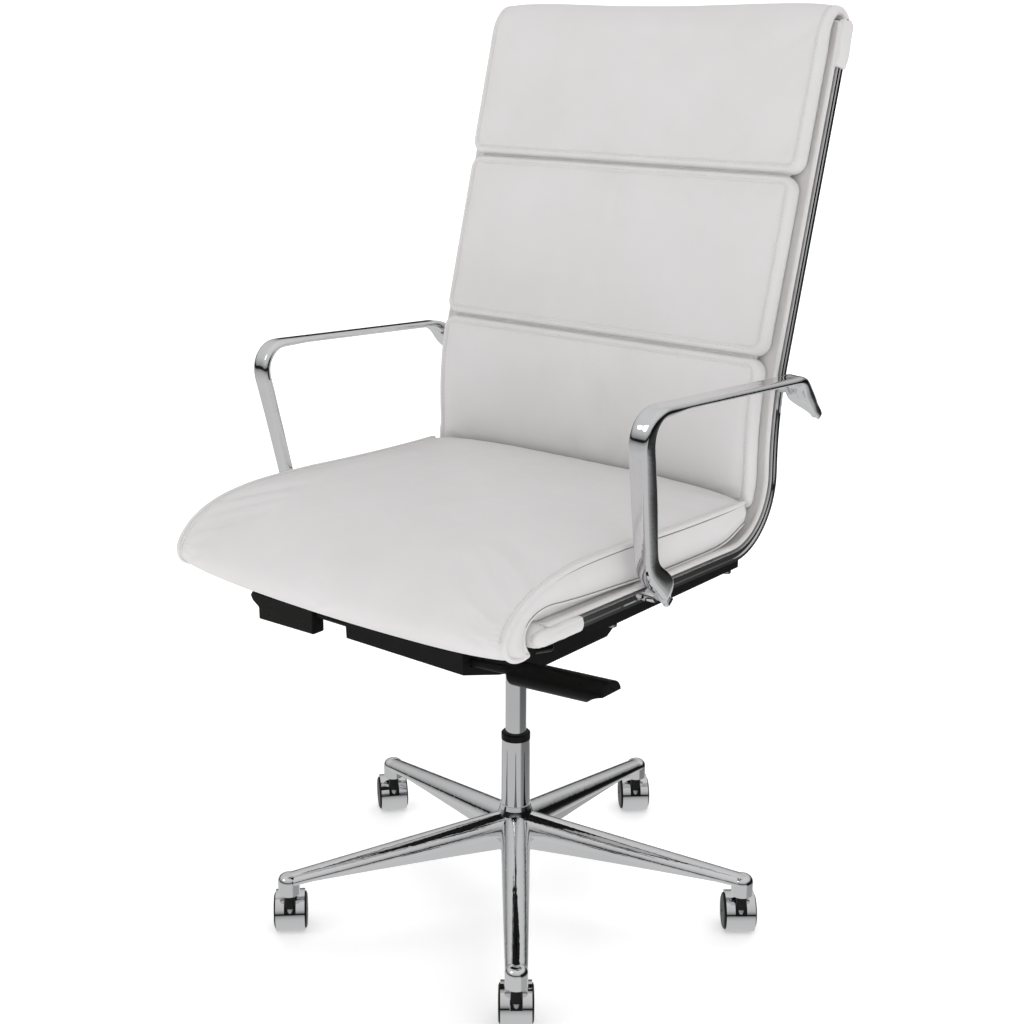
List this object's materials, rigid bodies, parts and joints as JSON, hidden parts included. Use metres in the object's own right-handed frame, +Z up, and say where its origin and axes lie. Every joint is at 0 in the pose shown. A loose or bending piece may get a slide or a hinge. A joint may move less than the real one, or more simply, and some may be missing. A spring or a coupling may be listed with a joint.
{
  "type": "swivel office chair",
  "caption": "High-backed padded office chair on a polished star base with twin-wheel castors, gas lift, tilt mechanism and looped metal arms.",
  "frame": {"origin": "on the floor under the centre of the gas lift", "axes": "+Z up, the sitter faces -Y, +X to the sitter's left"},
  "size_m": [0.6556, 0.6955, 1.171],
  "materials": {
    "polished_aluminium": "mirror polished casting",
    "chrome_plate": "bright chrome plate",
    "bright_steel": "plain turned steel",
    "black_steel": "satin black powder coat",
    "black_plastic": "fine satin moulding",
    "white_leather": "soft smooth leather",
    "padding": "upholstered foam"
  },
  "bodies": {
    "base": {"star_base": "polished_aluminium", "stand_tube": "chrome_plate", "guide_bush": "black_plastic"},
    "rotor": {"piston_rod": "bright_steel", "thrust_washer": "bright_steel"},
    "lift": {"lift_cylinder": "chrome_plate", "taper_socket": "black_steel", "mechanism_housing": "black_steel", "pivot_axle": "bright_steel", "tilt_spring": "bright_steel"},
    "valve": {"release_pin": "bright_steel"},
    "height_control": {"height_lever": "black_steel", "height_paddle": "black_plastic"},
    "lock_control": {"lock_lever": "black_steel", "lock_grip": "black_plastic"},
    "tension_control": {"tension_lever": "black_plastic"},
    "seat_unit": {"tilt_plate": "black_steel", "seat_frame": "black_steel", "frame_screws": "bright_steel", "side_rail_left": "polished_aluminium", "side_rail_right": "polished_aluminium", "front_bar": "bright_steel", "top_bar": "bright_steel", "back_stretcher": "bright_steel", "sling": "white_leather", "seat_pad": "padding", "lumbar_pad": "padding", "middle_pad": "padding", "headrest_pad": "padding", "arm_left": "polished_aluminium", "arm_right": "polished_aluminium", "arm_screws": "bright_steel"},
    "castor_1": {"castor_1_hood": "chrome_plate", "castor_1_core": "black_plastic", "castor_1_pins": "bright_steel"},
    "castor_1_left": {"castor_1_wheel_left": "black_plastic"},
    "castor_1_right": {"castor_1_wheel_right": "black_plastic"},
    "castor_2": {"castor_2_hood": "chrome_plate", "castor_2_core": "black_plastic", "castor_2_pins": "bright_steel"},
    "castor_2_left": {"castor_2_wheel_left": "black_plastic"},
    "castor_2_right": {"castor_2_wheel_right": "black_plastic"},
    "castor_3": {"castor_3_hood": "chrome_plate", "castor_3_core": "black_plastic", "castor_3_pins": "bright_steel"},
    "castor_3_left": {"castor_3_wheel_left": "black_plastic"},
    "castor_3_right": {"castor_3_wheel_right": "black_plastic"},
    "castor_4": {"castor_4_hood": "chrome_plate", "castor_4_core": "black_plastic", "castor_4_pins": "bright_steel"},
    "castor_4_left": {"castor_4_wheel_left": "black_plastic"},
    "castor_4_right": {"castor_4_wheel_right": "black_plastic"},
    "castor_5": {"castor_5_hood": "chrome_plate", "castor_5_core": "black_plastic", "castor_5_pins": "bright_steel"},
    "castor_5_left": {"castor_5_wheel_left": "black_plastic"},
    "castor_5_right": {"castor_5_wheel_right": "black_plastic"}
  },
  "joints": [
    {"name": "seat_swivel", "type": "hinge", "parent": "base", "child": "rotor", "pos_m": [0, 0, 0.07], "axis": [0, 0, 1], "continuous": true},
    {"name": "seat_height", "type": "slide", "parent": "rotor", "child": "lift", "axis": [0, 0, 1], "range_m": [-0.09, 0]},
    {"name": "valve_press", "type": "slide", "parent": "lift", "child": "valve", "axis": [0, 0, 1], "range_m": [-0.003, 0], "stiffness_N_per_m": 3000, "springref_m": 0.001},
    {"name": "height_lever_lift", "type": "hinge", "parent": "lift", "child": "height_control", "pos_m": [-0.0935, -0.2, 0.432], "axis": [0, 1, 0], "range_deg": [0, 6], "stiffness_Nm_per_rad": 4, "springref_deg": -6.88},
    {"name": "lock_lever_press", "type": "hinge", "parent": "lift", "child": "lock_control", "pos_m": [0.0935, -0.2, 0.432], "axis": [0, 1, 0], "range_deg": [0, 6]},
    {"name": "tension_turn", "type": "hinge", "parent": "lift", "child": "tension_control", "pos_m": [0, -0.165, 0.45], "axis": [1, 0, 0], "range_deg": [-40, 10]},
    {"name": "recline", "type": "hinge", "parent": "lift", "child": "seat_unit", "pos_m": [0, -0.165, 0.45], "axis": [-1, 0, 0], "range_deg": [0, 12], "stiffness_Nm_per_rad": 180, "springref_deg": -18.91},
    {"name": "castor_1_swivel", "type": "hinge", "parent": "base", "child": "castor_1", "pos_m": [0.19593, -0.24023, 0.07], "axis": [0, 0, 1], "continuous": true},
    {"name": "castor_1_left_roll", "type": "hinge", "parent": "castor_1", "child": "castor_1_left", "pos_m": [0.1839, -0.22553, 0.025], "axis": [-0.7738, -0.6334, 0], "continuous": true},
    {"name": "castor_1_right_roll", "type": "hinge", "parent": "castor_1", "child": "castor_1_right", "pos_m": [0.1839, -0.22553, 0.025], "axis": [-0.7738, -0.6334, 0], "continuous": true},
    {"name": "castor_2_swivel", "type": "hinge", "parent": "base", "child": "castor_2", "pos_m": [0.28902, 0.1121, 0.07], "axis": [0, 0, 1], "continuous": true},
    {"name": "castor_2_left_roll", "type": "hinge", "parent": "castor_2", "child": "castor_2_left", "pos_m": [0.27678, 0.12664, 0.025], "axis": [-0.7649, -0.6441, 0], "continuous": true},
    {"name": "castor_2_right_roll", "type": "hinge", "parent": "castor_2", "child": "castor_2_right", "pos_m": [0.27678, 0.12664, 0.025], "axis": [-0.7649, -0.6441, 0], "continuous": true},
    {"name": "castor_3_swivel", "type": "hinge", "parent": "base", "child": "castor_3", "pos_m": [-0.01731, 0.30952, 0.07], "axis": [0, 0, 1], "continuous": true},
    {"name": "castor_3_left_roll", "type": "hinge", "parent": "castor_3", "child": "castor_3_left", "pos_m": [-0.03024, 0.32343, 0.025], "axis": [-0.7325, -0.6807, 0], "continuous": true},
    {"name": "castor_3_right_roll", "type": "hinge", "parent": "castor_3", "child": "castor_3_right", "pos_m": [-0.03024, 0.32343, 0.025], "axis": [-0.7325, -0.6807, 0], "continuous": true},
    {"name": "castor_4_swivel", "type": "hinge", "parent": "base", "child": "castor_4", "pos_m": [-0.29972, 0.07919, 0.07], "axis": [0, 0, 1], "continuous": true},
    {"name": "castor_4_left_roll", "type": "hinge", "parent": "castor_4", "child": "castor_4_left", "pos_m": [-0.31421, 0.09148, 0.025], "axis": [-0.6468, -0.7627, 0], "continuous": true},
    {"name": "castor_4_right_roll", "type": "hinge", "parent": "castor_4", "child": "castor_4_right", "pos_m": [-0.31421, 0.09148, 0.025], "axis": [-0.6468, -0.7627, 0], "continuous": true},
    {"name": "castor_5_swivel", "type": "hinge", "parent": "base", "child": "castor_5", "pos_m": [-0.16793, -0.26058, 0.07], "axis": [0, 0, 1], "continuous": true},
    {"name": "castor_5_left_roll", "type": "hinge", "parent": "castor_5", "child": "castor_5_left", "pos_m": [-0.18101, -0.24679, 0.025], "axis": [-0.7254, -0.6884, 0], "continuous": true},
    {"name": "castor_5_right_roll", "type": "hinge", "parent": "castor_5", "child": "castor_5_right", "pos_m": [-0.18101, -0.24679, 0.025], "axis": [-0.7254, -0.6884, 0], "continuous": true}
  ],
  "couplings": [
    {"joint": "valve_press", "follows": "height_lever_lift", "m_per_rad": -0.028}
  ]
}
